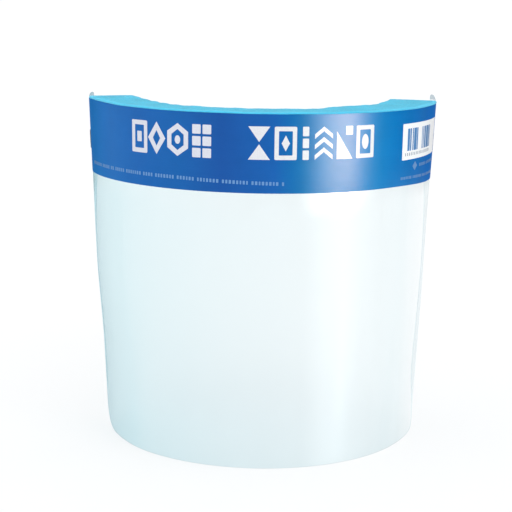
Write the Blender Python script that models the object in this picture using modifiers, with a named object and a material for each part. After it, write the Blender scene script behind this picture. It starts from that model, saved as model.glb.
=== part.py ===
"""Disposable full-length face shield: clear visor sheet with a printed header
film, a foam brow pad on adhesive tape and a stapled elastic head strap.

Metres, +Z up.  The shield faces -Y, so the wearer's left side is +X.
The origin is the centre of the brow pad's forehead contact face.

The pieces are laid out on the visor's surface by arc length from the centre
line and by height, which is zero at the visor's top edge and negative below.
"""
import math

import bmesh
import bpy
from mathutils import Matrix, Vector

# ---------------------------------------------------------------- dimensions
GAP = 0.0003                # running gap between pieces that touch
CENTRE_COL = 0.0035         # arc position of the columns next to the centre line
SIDES = ((1, "left"), (-1, "right"))

# visor sheet (PET, rolled from a flat blank)
SHEET_HALF = 0.168          # half of the blank's length, along the arc
SHEET_H = 0.220             # height at the front
SHEET_T = 0.00025
SHEET_R_TOP = 0.11914       # plan radius at the top edge
SHEET_TAPER = 0.0615        # radius lost per metre of drop
SHEET_LEAN = 0.050          # forward lean: the chin end stands off the face
CORNER_R = 0.038            # lower corners of the blank

# side margins, curled in with the strap
CURL_START = 0.1580         # arc position where the curl starts
CURL_R = 0.0100             # curl radius at strap height
CURL_R_GAIN = 3.0           # growth of the radius lower down, as a multiple of it
CURL_EASE_DROP = 0.04       # drop where the radius starts to grow
CURL_EASE_SPAN = 0.08       # further drop over which it grows

# raised tabs at the two top corners
EAR_H = 0.0038
EAR_START = 0.1580
EAR_FULL = 0.1664
EAR_R = 0.0014

# printed header film on the outside of the visor
FILM_HALF = 0.1600
FILM_H = 0.048
FILM_T = 0.00010
FILM_R = 0.004              # lower corners
FILM_TOP_DROP = 0.0002      # top edge below the visor's

# double-sided tape behind the brow pad's front face
TAPE_HALF = 0.1370
TAPE_H = 0.030
TAPE_T = 0.00020

# elastic strap
STRAP_W = 0.020
STRAP_T = 0.0010
STRAP_Z = -0.0265           # height of the centre line
STRAP_IN = 0.1450           # where the stapled end starts, along the arc
STRAP_OVERHANG = 0.0005     # stapled end beyond the visor's side edge
STRAP_SIDE_X = 0.1110       # half width of the loop behind the visor
STRAP_REAR_Y = 0.1325       # where the rear span starts
STRAP_REAR_DEPTH = 0.0590   # depth of the rear curve
STRAP_JOINT_GAP = 0.0004    # between a side span and the rear span
HINGE_Y = 0.1112            # the strap swings about this line, along X

# foam brow pad
FOAM_HALF = 0.1580
FOAM_T = 0.025
FOAM_H = 0.038
FOAM_TOP = 0.0018           # stands just proud of the visor's top edge
FOAM_GROW = 0.0042          # the pad is thicker towards its free ends
FOAM_GROW_START = 0.074     # arc position where it starts to thicken
FOAM_GROW_SPAN = 0.050
FOAM_STEP_START = 0.1385    # where the front face steps inwards to clear the strap
FOAM_STEP_SPAN = 0.005
FOAM_OFF = SHEET_T / 2 + GAP + TAPE_T + GAP              # front face, over the tape
FOAM_OFF_END = SHEET_T / 2 + GAP + STRAP_T + 2 * GAP     # front face, over the strap

# staples (24/6 size)
WIRE_R = 0.0003
CROWN = 0.0120              # distance between the two legs
STAPLE_ARCS = {"front": 0.1608, "rear": 0.1652}
TIP_GAP = 0.0012            # gap between the two clinched tips
BEND_R = 0.00050
BEND_STEPS = (0.0, 0.3, 0.7, 1.0)    # points along a bend, as parts of its quarter turn
STAPLE_OUT = SHEET_T / 2 + GAP + WIRE_R                  # crown, outside the visor
STAPLE_IN = SHEET_T / 2 + GAP + STRAP_T + GAP + WIRE_R   # tips, inside the strap
HOLE_R = 0.0006
HOLE_REACH = 0.004          # reach of a hole cutter to each side of the visor

# origin of the part: forehead side of the pad, at its mid height
PAD_Z = FOAM_TOP - FOAM_H / 2
PAD_Y = SHEET_LEAN * PAD_Z + FOAM_OFF + FOAM_T
ORIGIN = Vector((0.0, PAD_Y, PAD_Z))


# ------------------------------------------------------------- scene set-up
for old in list(bpy.data.objects):
    bpy.data.objects.remove(old, do_unlink=True)
for old in list(bpy.data.meshes):
    bpy.data.meshes.remove(old)

PARTS = bpy.data.collections.new("face_shield")
CUTTERS = bpy.data.collections.new("cutters")
bpy.context.scene.collection.children.link(PARTS)
bpy.context.scene.collection.children.link(CUTTERS)


def material(name, color, rough, metal=0.0, alpha=1.0):
    mat = bpy.data.materials.new(name)
    mat.use_nodes = True
    bsdf = mat.node_tree.nodes["Principled BSDF"]
    bsdf.inputs["Base Color"].default_value = (*color, 1.0)
    bsdf.inputs["Roughness"].default_value = rough
    bsdf.inputs["Metallic"].default_value = metal
    bsdf.inputs["Alpha"].default_value = alpha
    mat.diffuse_color = (*color, alpha)
    return mat


PET = material("clear_pet", color=(0.80, 0.92, 0.95), rough=0.06, alpha=0.28)
PRINT = material("printed_film", color=(0.028, 0.155, 0.455), rough=0.22)
FOAM = material("foam_blue", color=(0.150, 0.545, 0.700), rough=0.95)
TAPE = material("foam_tape", color=(0.82, 0.82, 0.78), rough=0.55)
ELASTIC = material("elastic_white", color=(0.80, 0.81, 0.82), rough=0.90)
STEEL = material("staple_steel", color=(0.62, 0.62, 0.63), rough=0.30, metal=1.0)


# ---------------------------------------------------------- visor's surface
def smoothstep(t):
    t = min(max(t, 0.0), 1.0)
    return t * t * (3.0 - 2.0 * t)


def sheet_point(arc, z, off=0.0, curl=True):
    """Point of the visor's surface at an arc length and height z (z <= 0), moved
    outwards by off.  Returned before the shift to the part's origin.  The side
    margins curl in at the height of the strap, and less below it."""
    radius = SHEET_R_TOP + SHEET_TAPER * z
    rolled = min(max(arc, -CURL_START), CURL_START) if curl else arc
    angle = rolled / radius
    point = Vector((radius * math.sin(angle),
                    SHEET_LEAN * z + radius * (1.0 - math.cos(angle)), z))
    over = abs(arc) - CURL_START
    if curl and over > 0.0:
        ease = smoothstep((-z - CURL_EASE_DROP) / CURL_EASE_SPAN)
        curl_r = CURL_R * (1.0 + CURL_R_GAIN * ease)
        side = math.copysign(1.0, arc)
        turn = over / curl_r
        along, inward = math.sin(turn), 1 - math.cos(turn)
        sine, cosine = abs(math.sin(angle)), math.cos(angle)
        point += Vector((side * (cosine * along - sine * inward),
                         sine * along + cosine * inward,
                         0.0)) * curl_r
        angle += side * turn
    normal = Vector((math.sin(angle), -math.cos(angle),
                     (SHEET_LEAN + SHEET_TAPER) * math.cos(angle) - SHEET_TAPER))
    return point + normal.normalized() * off


def corner_cut(arc, half, radius):
    """How far a rounded corner at the end of a blank moves its edge in height."""
    over = abs(arc) - (half - radius)
    if over <= 0.0:
        return 0.0
    return radius - math.sqrt(max(radius ** 2 - over ** 2, 0.0))


def top_edge(arc):
    """Height of the visor's top edge: straight, with a rounded tab at the ends."""
    tab = EAR_H * smoothstep((abs(arc) - EAR_START) / (EAR_FULL - EAR_START))
    return tab - corner_cut(arc, SHEET_HALF, EAR_R)


def bottom_edge(arc, half, height, radius):
    """Height of a blank's bottom edge with rounded lower corners."""
    return -height + corner_cut(arc, half, radius)


# ------------------------------------------------------------- mesh helpers
def mirrored(values):
    """Ascending list of arc positions, symmetric about zero."""
    pos = sorted(set(round(value, 7) for value in values))
    return [-value for value in reversed(pos)] + pos


def even(low, high, count):
    return [low + (high - low) * i / count for i in range(count + 1)]


def corner_cols(half, radius, angles):
    """Arc positions round a corner, at the given angles in degrees."""
    return [half - radius + radius * math.sin(math.radians(a)) for a in angles]


def link(obj, coll, mat=None):
    coll.objects.link(obj)
    if mat is not None:
        obj.data.materials.append(mat)
    return obj


def mesh_object(name, shape, coll, mat=None):
    """Turn a bmesh into a linked object, and free it."""
    mesh = bpy.data.meshes.new(name)
    shape.to_mesh(mesh)
    shape.free()
    return link(bpy.data.objects.new(name, mesh), coll, mat)


def laid_grid(cols, rows, place, origin):
    """A grid with each point at place(col, row), measured from origin."""
    col_count, row_count = len(cols) - 1, len(rows) - 1
    grid = bmesh.new()
    bmesh.ops.create_grid(grid, x_segments=col_count, y_segments=row_count, size=1.0)
    for vert in grid.verts:
        i = int(round((vert.co.x + 1.0) / 2.0 * col_count))
        j = int(round((vert.co.y + 1.0) / 2.0 * row_count))
        vert.co = place(cols[i], rows[j]) - origin
    return grid


def thicken(obj, thickness, even_offset=False):
    mod = obj.modifiers.new("thickness", "SOLIDIFY")
    mod.thickness = thickness
    mod.offset = 0.0
    mod.use_even_offset = even_offset


def panel(name, cols, rows, place, thickness, mat, flip=False):
    """A thin, smooth panel, laid over a rule and given its thickness."""
    grid = laid_grid(cols, rows, place, ORIGIN)
    if flip:
        bmesh.ops.reverse_faces(grid, faces=grid.faces[:])
    obj = mesh_object(name, grid, PARTS, mat)
    obj.data.shade_smooth()
    thicken(obj, thickness, even_offset=True)
    return obj


# ------------------------------------------- visor sheet, header film, tape
def make_visor():
    cols = even(CENTRE_COL, SHEET_HALF - CORNER_R, 18)
    cols += corner_cols(SHEET_HALF, CORNER_R, range(9, 91, 9))
    # closer columns over the curl and the top tabs
    cols += [EAR_START, 0.1591, 0.1600, 0.1612, 0.1626, 0.1640, 0.1652, EAR_FULL]
    # rows, as parts of the way from the top edge to the bottom edge
    rows = [0.0, 0.06, 0.22, 0.44, 0.68, 0.88, 1.0]

    def place(arc, down):
        low = bottom_edge(arc, SHEET_HALF, SHEET_H, CORNER_R)
        high = top_edge(arc)
        return sheet_point(arc, high + (low - high) * down)

    return panel("visor_sheet", mirrored(cols), rows, place, SHEET_T, PET)


def make_film():
    cols = even(CENTRE_COL, FILM_HALF - FILM_R, 20)
    cols += corner_cols(FILM_HALF, FILM_R, (20, 40, 60, 77, 90))
    off = SHEET_T / 2 + GAP + FILM_T / 2

    def place(arc, down):
        low = bottom_edge(arc, FILM_HALF, FILM_H, FILM_R)
        return sheet_point(arc, low * down - FILM_TOP_DROP * (1.0 - down), off)

    panel("header_film", mirrored(cols), [0.0, 0.5, 1.0], place, FILM_T, PRINT)


def make_tape():
    off = -(SHEET_T / 2 + GAP + TAPE_T / 2)

    def place(arc, down):
        return sheet_point(arc, PAD_Z + TAPE_H * (0.5 - down), off)

    panel("foam_tape", mirrored(even(CENTRE_COL, TAPE_HALF, 20)),
          [0.0, 0.5, 1.0], place, TAPE_T, TAPE)


# ------------------------------------------------------------ foam brow pad
def make_foam():
    """A straight foam strip, cut across its length and bent to the visor."""
    arcs = mirrored(even(CENTRE_COL, 0.1350, 17)
                    + [0.1390, 0.1436, 0.1485, 0.1532, FOAM_HALF])
    count = len(arcs) - 1
    block = bmesh.new()
    bmesh.ops.create_cube(block, size=1.0)
    for i in range(1, count):
        geom = block.verts[:] + block.edges[:] + block.faces[:]
        bmesh.ops.bisect_plane(block, geom=geom, plane_co=(-0.5 + i / count, 0, 0),
                               plane_no=(1, 0, 0), dist=1e-6)
    for vert in block.verts:
        arc = arcs[int(round((vert.co.x + 0.5) * count))]
        z = PAD_Z + vert.co.z * FOAM_H
        if vert.co.y < 0.0:
            # front face, against the visor and leaning with it
            step = smoothstep((abs(arc) - FOAM_STEP_START) / FOAM_STEP_SPAN)
            off = FOAM_OFF + (FOAM_OFF_END - FOAM_OFF) * step
            point = sheet_point(arc, z, -off, curl=False)
        else:
            # forehead face, upright
            grow = smoothstep((abs(arc) - FOAM_GROW_START) / FOAM_GROW_SPAN)
            off = FOAM_OFF + FOAM_T + FOAM_GROW * grow
            point = sheet_point(arc, PAD_Z, -off, curl=False)
        point.z = z
        vert.co = point - ORIGIN
    bmesh.ops.recalc_face_normals(block, faces=block.faces[:])
    mesh_object("brow_foam", block, PARTS, FOAM)


# -------------------------------------------------------------------- strap
def make_strap_end(side, label):
    """Stapled end, lying against the inside of the visor's curled margin."""
    off = -(SHEET_T / 2 + GAP + STRAP_T / 2)

    def place(arc, down):
        return sheet_point(side * arc, STRAP_Z + STRAP_W * (0.5 - down), off)

    return panel("strap_end_" + label, even(STRAP_IN, SHEET_HALF + STRAP_OVERHANG, 6),
                 [0.0, 0.5, 1.0], place, STRAP_T, ELASTIC, flip=side < 0)


def make_strap_side(side, label):
    """Side span with a round front end, so that it turns freely behind the
    visor.  Its origin is on the line it swings about."""
    hinge = Vector((0.0, HINGE_Y, STRAP_Z))
    front_r = STRAP_W / 2
    depths = [HINGE_Y - front_r * math.cos(math.radians(a))
              for a in (8, 22, 36, 50, 64, 78, 90)]
    depths.append(STRAP_REAR_Y - STRAP_JOINT_GAP)

    def place(y, edge):
        over = max(HINGE_Y - y, 0.0)
        half = math.sqrt(front_r ** 2 - over ** 2)
        return Vector((side * STRAP_SIDE_X, y, STRAP_Z + edge * half))

    grid = laid_grid(depths, [-1, 1], place, hinge)
    bmesh.ops.recalc_face_normals(grid, faces=grid.faces[:])
    obj = mesh_object("strap_side_" + label, grid, PARTS, ELASTIC)
    obj.location = hinge - ORIGIN
    thicken(obj, STRAP_T)


def make_strap_rear():
    """Rear span, one U-shaped piece: half an ellipse in plan."""
    def place(degrees, down):
        angle = math.radians(degrees)
        return Vector((STRAP_SIDE_X * math.sin(angle),
                       STRAP_REAR_Y + STRAP_REAR_DEPTH * math.cos(angle),
                       STRAP_Z + STRAP_W * (0.5 - down)))

    panel("strap_rear", even(-90.0, 90.0, 36), [0.0, 1.0], place, STRAP_T, ELASTIC)


# ------------------------------------------------------------------ staples
def staple_half(arc, way):
    """Wire path from a clinched tip round its leg to the crown, on the lower
    (way = -1) or upper (way = 1) half of a closed staple."""
    half = CROWN / 2
    turns = [(math.sin(step * math.pi / 2), 1 - math.cos(step * math.pi / 2))
             for step in BEND_STEPS]
    # distance from the strap's centre line, and offset from the visor
    path = [(TIP_GAP / 2, -STAPLE_IN)]
    path += [(half - BEND_R + BEND_R * sine, -STAPLE_IN + BEND_R * rise)
             for sine, rise in turns]
    path += [(half - BEND_R * rise, STAPLE_OUT - BEND_R * (1 - sine))
             for sine, rise in turns]
    return [sheet_point(arc, STRAP_Z + way * dist, off) - ORIGIN for dist, off in path]


def make_staple(name, arc):
    curve = bpy.data.curves.new(name, "CURVE")
    curve.dimensions = "3D"
    curve.bevel_depth = WIRE_R
    curve.bevel_resolution = 1
    curve.use_fill_caps = True
    points = staple_half(arc, -1) + staple_half(arc, 1)[::-1]
    spline = curve.splines.new("POLY")
    spline.points.add(len(points) - 1)
    for spline_point, co in zip(spline.points, points):
        spline_point.co = (*co, 1.0)
    link(bpy.data.objects.new(name, curve), PARTS, STEEL)


def add_leg_holes(holes, arc):
    """Add the two cylinders that cut a staple's leg holes, square to the visor."""
    for height in (-CROWN / 2, CROWN / 2):
        outer = sheet_point(arc, STRAP_Z + height, HOLE_REACH)
        inner = sheet_point(arc, STRAP_Z + height, -HOLE_REACH)
        turn = (outer - inner).to_track_quat("Z", "Y").to_matrix().to_4x4()
        bmesh.ops.create_cone(holes, cap_ends=True, segments=10,
                              radius1=HOLE_R, radius2=HOLE_R, depth=2 * HOLE_REACH,
                              matrix=Matrix.Translation((outer + inner) / 2 - ORIGIN) @ turn)


def make_staples():
    """Build the four staples and return the cutter for their leg holes."""
    holes = bmesh.new()
    for side, label in SIDES:
        for where, arc in STAPLE_ARCS.items():
            make_staple("staple_%s_%s" % (label, where), side * arc)
            add_leg_holes(holes, side * arc)
    cutter = mesh_object("staple_leg_holes", holes, CUTTERS)
    cutter.hide_render = True
    cutter.display_type = "WIRE"
    return cutter


def cut_holes(obj, cutter):
    mod = obj.modifiers.new("staple_holes", "BOOLEAN")
    mod.operation = "DIFFERENCE"
    mod.solver = "EXACT"
    mod.object = cutter


# ----------------------------------------------------------------- assembly
visor = make_visor()
make_film()
make_tape()
make_foam()
strap_ends = [make_strap_end(side, label) for side, label in SIDES]
for side, label in SIDES:
    make_strap_side(side, label)
make_strap_rear()
leg_holes = make_staples()
for stapled in [visor] + strap_ends:
    cut_holes(stapled, leg_holes)
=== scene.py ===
"""Looks of a face shield: fine surfaces and materials around its CAD frame.

A clear sheet bulges towards -Y, and its stapled ends reach back to +Y, where an elastic
strap closes the loop.  +Z is up and +X is the wearer's left.  Lengths are metres.  The
shape is worked out with the sheet's top edge at z = 0 and its foremost top point at
y = 0, then moved so that the middle of the brow pad's inner face is the origin.
"""
import math
import random
from functools import partial

import bmesh
import bpy
from mathutils import Matrix, Vector, noise


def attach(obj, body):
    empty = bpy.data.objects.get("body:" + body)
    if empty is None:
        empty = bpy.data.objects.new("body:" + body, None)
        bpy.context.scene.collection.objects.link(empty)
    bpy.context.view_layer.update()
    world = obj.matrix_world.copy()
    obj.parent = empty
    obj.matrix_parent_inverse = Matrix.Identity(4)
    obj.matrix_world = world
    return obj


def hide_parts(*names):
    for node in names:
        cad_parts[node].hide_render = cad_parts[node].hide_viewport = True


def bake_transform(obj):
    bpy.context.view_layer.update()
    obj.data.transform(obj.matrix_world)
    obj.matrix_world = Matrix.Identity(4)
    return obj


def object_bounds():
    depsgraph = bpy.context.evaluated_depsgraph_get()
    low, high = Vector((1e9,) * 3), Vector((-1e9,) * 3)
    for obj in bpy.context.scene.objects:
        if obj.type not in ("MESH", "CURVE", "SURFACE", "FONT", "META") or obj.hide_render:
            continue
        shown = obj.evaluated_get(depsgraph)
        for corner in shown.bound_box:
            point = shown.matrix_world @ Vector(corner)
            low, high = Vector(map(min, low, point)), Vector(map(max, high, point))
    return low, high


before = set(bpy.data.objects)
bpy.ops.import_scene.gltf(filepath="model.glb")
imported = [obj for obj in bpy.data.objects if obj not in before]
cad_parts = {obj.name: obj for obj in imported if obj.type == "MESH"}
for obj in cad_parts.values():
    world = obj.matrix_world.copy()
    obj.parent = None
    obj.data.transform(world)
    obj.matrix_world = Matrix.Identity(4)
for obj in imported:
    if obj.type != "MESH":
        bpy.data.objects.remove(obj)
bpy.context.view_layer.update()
scene = bpy.context.scene
# guards against a colour configuration that lacks the plain view
try:
    scene.view_settings.view_transform = "Standard"
    scene.view_settings.look = "None"
except TypeError:
    pass

# ------------------------------------------------------------------ dimensions
# "arc" is the distance along the sheet from its middle, positive towards +X;
# "half" sizes are measured along it
TOP_RADIUS, TAPER, LEAN = 0.11914, 0.0615, 0.050    # radius at z = 0; changes per metre of z
SHEET_HALF, SHEET_H, SHEET_T, SHEET_ROUND = 0.168, 0.220, 0.00025, 0.038
CURL_START, CURL_RADIUS = 0.1580, 0.0100            # side margins that curl in
EAR_RISE, EAR_START, EAR_END, EAR_ROUND = 0.0038, 0.1580, 0.1664, 0.0014
FILM_HALF, FILM_H, FILM_T, FILM_ROUND = 0.1600, 0.048, 0.00010, 0.004
PAD_HALF, PAD_T, PAD_TOP, PAD_H, PAD_ROUND = 0.1580, 0.025, 0.0018, 0.038, 0.0011
STRAP_W, STRAP_T, STRAP_Z, STRAP_START = 0.020, 0.0010, -0.0265, 0.1450
SIDE_X, REAR_Y, REAR_DEPTH = 0.1110, 0.1325, 0.0590  # strap sides, and its half ellipse
SPLIT_Y = 0.1235                                    # where side and rear strap pieces meet
RIB_W = 0.00125                                     # pitch of the strap's ribs
WIRE_RADIUS, CROWN, STAPLE_ARCS = 0.0003, 0.0120, (0.1608, 0.1652)
WIRE_BEND = 0.00050
GAP, TAPE_T = 0.0003, 0.0002

# offsets from the sheet's middle surface, positive outwards
PAD_Z = PAD_TOP - PAD_H / 2
PAD_DEPTH = SHEET_T / 2 + GAP + TAPE_T + GAP
PAD_DEPTH_END = SHEET_T / 2 + GAP + STRAP_T + 2 * GAP
FILM_OFF = SHEET_T / 2 + 0.00003 + FILM_T / 2
INK_OFF = FILM_OFF + FILM_T / 2 + 0.00001
INK_T = 0.00003
OVERPRINT_OFF = INK_OFF + 0.00004
STRAP_OFF = -(SHEET_T / 2 + 0.00006 + STRAP_T / 2)
ORIGIN = Vector((0.0, LEAN * PAD_Z + PAD_DEPTH + PAD_T, PAD_Z))


# ------------------------------------------------------------------ sheet rule
def ease(value, start, width):
    """Smooth step from 0 at start to 1 at start + width."""
    t = min(max((value - start) / width, 0.0), 1.0)
    return t * t * (3.0 - 2.0 * t)


def wave(arc, z):
    """Slight unevenness of a thin rolled sheet, none at the stapled ends."""
    fade = 1.0 - ease(abs(arc), 0.120, 0.030)
    lower = 0.35 + 0.65 * ease(-z, 0.030, 0.05)
    broad = math.sin(arc * 61.0 + 0.7) * math.cos(z * 23.0 + arc * 9.0)
    narrow = math.sin(arc * 143.0 - z * 31.0 + 1.9)
    level = math.cos(z * 71.0 + arc * 17.0)
    return fade * lower * (0.00011 * broad + 0.00005 * narrow + 0.00004 * level)


def spring(arc, z):
    """Below the header the sheet sits a little towards the wearer's left."""
    right = ease(-arc, 0.080, 0.055) * ease(-z, 0.105, 0.060)
    left = ease(arc, 0.095, 0.050) * ease(-z, 0.053, 0.090)
    return 0.0016 * right + 0.0009 * left


def sheet_normal(angle):
    return Vector((math.sin(angle), -math.cos(angle),
                   (LEAN + TAPER) * math.cos(angle) - TAPER)).normalized()


def sheet_point(arc, z, off=0.0, wavy=True, curl=True):
    """Point of the tapered, leaning sheet, moved outwards by off."""
    radius = TOP_RADIUS + TAPER * z
    angle = (min(max(arc, -CURL_START), CURL_START) if curl else arc) / radius
    point = Vector((radius * math.sin(angle), LEAN * z + radius * (1.0 - math.cos(angle)), z))
    over = abs(arc) - CURL_START
    if curl and over > 0.0:
        # the margins curl in at the height of the strap, and less below it
        curl_radius = CURL_RADIUS * (1.0 + 3.0 * ease(-z, 0.04, 0.08))
        side = math.copysign(1.0, arc)
        turn = over / curl_radius
        run, drop = math.sin(turn), 1.0 - math.cos(turn)
        cosine, sine = math.cos(angle), abs(math.sin(angle))
        point += Vector((side * (cosine * run - sine * drop),
                         sine * run + cosine * drop, 0.0)) * curl_radius
        angle += side * turn
    if wavy:
        off += wave(arc, z)
    point.x += spring(arc, z)
    return point + sheet_normal(angle) * off


def place(arc, z, off=0.0, wavy=True):
    return sheet_point(arc, z, off, wavy) - ORIGIN


def right_rise(arc):
    """The top edge is slightly high at the wearer's right end."""
    return 0.0007 * ease(-arc, 0.105, 0.045)


def corner_cut(arc, half, radius):
    """How far a rounded corner draws the edge back."""
    over = abs(arc) - (half - radius)
    if over <= 0.0:
        return 0.0
    return radius - math.sqrt(max(radius ** 2 - over ** 2, 0.0))


def top_edge(arc):
    ear = EAR_RISE + (0.0011 if arc > 0 else -0.0005)
    z = ear * ease(abs(arc), EAR_START, EAR_END - EAR_START) + right_rise(arc)
    return z - corner_cut(arc, SHEET_HALF, EAR_ROUND)


def even(low, high, count):
    return [low + (high - low) * i / count for i in range(count + 1)]


def corner_stops(half, radius, degrees):
    """Arc positions round a corner, one every so many degrees."""
    return [half - radius + radius * math.sin(math.radians(angle))
            for angle in range(0, 91, degrees)]


def mirrored(values):
    """Positions from 0 outwards, without near doubles, repeated on the -X side."""
    stops = sorted(set(round(value, 7) for value in values))
    kept = [stops[0]]
    for stop in stops[1:]:
        if stop - kept[-1] > 2e-4:
            kept.append(stop)
    return [-stop for stop in reversed(kept[1:])] + kept


# ------------------------------------------------------------------ mesh helpers
def new_object(name, bm, mats, smooth_shade=True):
    mesh = bpy.data.meshes.new(name)
    bm.to_mesh(mesh)
    bm.free()
    if smooth_shade:
        mesh.shade_smooth()
    ob = bpy.data.objects.new(name, mesh)
    scene.collection.objects.link(ob)
    for mat in mats:
        mesh.materials.append(mat)
    return ob


def grid_object(name, points, mats, uvs=None, flipped=False):
    """Mesh of a grid of points; uvs are metres along the surface."""
    bm = bmesh.new()
    verts = [[bm.verts.new(point) for point in column] for column in points]
    layer = bm.loops.layers.uv.new("surf")
    for i in range(len(verts) - 1):
        for j in range(len(verts[0]) - 1):
            corners = ((i, j), (i, j + 1), (i + 1, j + 1), (i + 1, j))
            if flipped:
                corners = (corners[0], *corners[:0:-1])
            face = bm.faces.new([verts[a][b] for a, b in corners])
            if uvs is not None:
                for loop, (a, b) in zip(face.loops, corners):
                    loop[layer].uv = uvs[a][b]
    return new_object(name, bm, mats)


def add_solidify(ob, thickness, offset=0.0, rim=0):
    solidify = ob.modifiers.new("thickness", "SOLIDIFY")
    solidify.thickness = thickness
    solidify.offset = offset
    solidify.use_even_offset = False
    solidify.material_offset_rim = rim


def pierce(ob, cutter):
    holes = ob.modifiers.new("holes", "BOOLEAN")
    holes.object = cutter
    holes.solver = "EXACT"
    holes.operation = "DIFFERENCE"


def evaluated_mesh(ob, keep_layers=False):
    bpy.context.view_layer.update()
    graph = bpy.context.evaluated_depsgraph_get()
    options = {"preserve_all_data_layers": True, "depsgraph": graph} if keep_layers else {}
    return bpy.data.meshes.new_from_object(ob.evaluated_get(graph), **options)


def bake(ob):
    """Apply an object's modifiers so that the mesh itself is final."""
    mesh = evaluated_mesh(ob, keep_layers=True)
    mesh.name = ob.data.name + "_final"
    ob.modifiers.clear()
    ob.data = mesh
    mesh.set_sharp_from_angle(angle=math.radians(50))


def curve_mesh(lines, closed, **settings):
    """Mesh made by a temporary curve object of straight-sided lines."""
    curve = bpy.data.curves.new("line", "CURVE")
    for key, value in settings.items():
        setattr(curve, key, value)
    for line in lines:
        spline = curve.splines.new("POLY")
        spline.points.add(len(line) - 1)
        for point, spot in zip(spline.points, line):
            point.co = (*Vector(spot).to_3d(), 1.0)
        spline.use_cyclic_u = closed
    ob = bpy.data.objects.new("line", curve)
    scene.collection.objects.link(ob)
    mesh = evaluated_mesh(ob)
    bpy.data.objects.remove(ob)
    bpy.data.curves.remove(curve)
    return mesh


def ride_visor(ob, slot, *replaced):
    """Fix a piece to the visor, in place of the named CAD pieces if any."""
    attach(ob, "visor")
    if replaced:
        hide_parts(*replaced)


# ------------------------------------------------------------------ node helpers
def rgba(colour):
    """Opaque colour from a grey level or an (r, g, b) tuple."""
    return (*(colour if isinstance(colour, tuple) else (colour,) * 3), 1.0)


def shade(colour, factor):
    return tuple(value * factor for value in colour)


class Nodes:
    """Short helper to write the node tree of a material or world."""

    def __init__(self, owner):
        self.owner = owner
        owner.use_nodes = True
        self.tree = owner.node_tree
        self.tree.nodes.clear()

    def add(self, kind, inputs=None, **properties):
        node = self.tree.nodes.new("ShaderNode" + kind)
        for key, value in properties.items():
            setattr(node, key, value)
        for key, value in (inputs or {}).items():
            self.put(node.inputs[key], value)
        return node

    def put(self, socket, value):
        """Link a socket to another socket or a node's first output, or set its value."""
        if isinstance(value, bpy.types.NodeSocket):
            self.tree.links.new(value, socket)
        elif isinstance(value, bpy.types.Node):
            self.tree.links.new(value.outputs[0], socket)
        else:
            socket.default_value = rgba(value) if socket.type == "RGBA" else value

    def math(self, operation, first, second=0.0, third=None, clamp=False):
        inputs = {0: first, 1: second}
        if third is not None:
            inputs[2] = third
        return self.add("Math", inputs, operation=operation, use_clamp=clamp).outputs[0]

    def times(self, value, factor, clamp=False):
        return self.math("MULTIPLY", value, factor, clamp=clamp)

    def times_plus(self, value, factor, offset, clamp=False):
        return self.math("MULTIPLY_ADD", value, factor, offset, clamp)

    def rise(self, value, start, slope):
        """0 up to start, then growing by slope up to 1."""
        return self.times(self.math("SUBTRACT", value, start), slope, clamp=True)

    def ramp(self, factor, *stops):
        """Colour ramp; each stop is (position, colour)."""
        node = self.add("ValToRGB", {0: factor})
        elements = node.color_ramp.elements
        for element, (position, colour) in zip(elements, (stops[0], stops[-1])):
            element.position = position
            element.color = rgba(colour)
        for position, colour in stops[1:-1]:
            elements.new(position).color = rgba(colour)
        return node.outputs[0]

    def mix(self, factor, first, second, blend="MIX"):
        return self.add("Mix", {0: factor, 6: first, 7: second},
                        data_type="RGBA", blend_type=blend).outputs[2]

    def multiply(self, first, second):
        return self.mix(1.0, first, second, "MULTIPLY")

    def mix_shader(self, factor, first, second):
        return self.add("MixShader", {0: factor, 1: first, 2: second})

    def vector(self, operation, inputs):
        return self.add("VectorMath", inputs, operation=operation)

    def coords(self):
        return self.add("TexCoord").outputs["Object"]

    def split(self, vector):
        """The x, y and z of a vector."""
        return self.add("SeparateXYZ", {0: vector}).outputs

    def mapping(self, vector, scale):
        return self.add("Mapping", {"Scale": scale, "Vector": vector}).outputs[0]

    def noise(self, vector, scale, detail=3.0, roughness=0.5, coloured=False):
        node = self.add("TexNoise", {"Scale": scale, "Detail": detail,
                                     "Roughness": roughness, "Vector": vector})
        return node.outputs[1 if coloured else 0]

    def voronoi(self, vector, scale, feature="F1"):
        return self.add("TexVoronoi", {"Scale": scale, "Vector": vector},
                        feature=feature).outputs[0]

    def bump(self, height, strength, distance):
        return self.add("Bump", {"Strength": strength, "Distance": distance,
                                 "Height": height}).outputs[0]

    def finish(self, shader, output="OutputMaterial"):
        self.add(output, {"Surface": shader})
        return self.owner


def material_nodes(name):
    return Nodes(bpy.data.materials.new(name))


# ------------------------------------------------------------------ materials
# painted light: the paler tint towards +X stands in for the light on the wearer's left end
PET_TINT = ((0.938, 0.984, 0.992), (0.976, 0.991, 0.994))   # towards -X, towards +X
BAND_BLUE = (0.0065, 0.165, 0.475)
FOAM_BLUE = (0.045, 0.590, 0.850)

# painted light and shade on the printed blue, brighter beside the soft box's highlight and darker
# in the middle: share of the film's length from -X, then r, g, b factors
PRINT_PAINTED_LIGHT = (
    (0.03, 1.7, 1.00, 1.03), (0.0625, 1.6, 1.09, 1.13), (0.10, 1.1, 1.05, 1.18),
    (0.22, 1.0, 0.815, 1.02), (0.31, 1.0, 0.80, 0.97), (0.40, 1.0, 0.57, 0.83),
    (0.50, 1.0, 0.775, 1.0), (0.56, 0.5, 1.22, 1.05), (0.65, 0.5, 1.45, 1.2),
    (0.72, 0.3, 1.50, 1.30), (0.77, 0.3, 1.31, 1.27), (0.82, 0.5, 1.11, 1.14),
    (0.844, 1.0, 1.07, 1.16), (0.875, 1.9, 0.98, 1.06), (0.906, 1.8, 0.92, 1.09),
    (0.94, 1.9, 0.90, 1.05), (0.97, 1.9, 0.90, 1.05))


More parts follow.
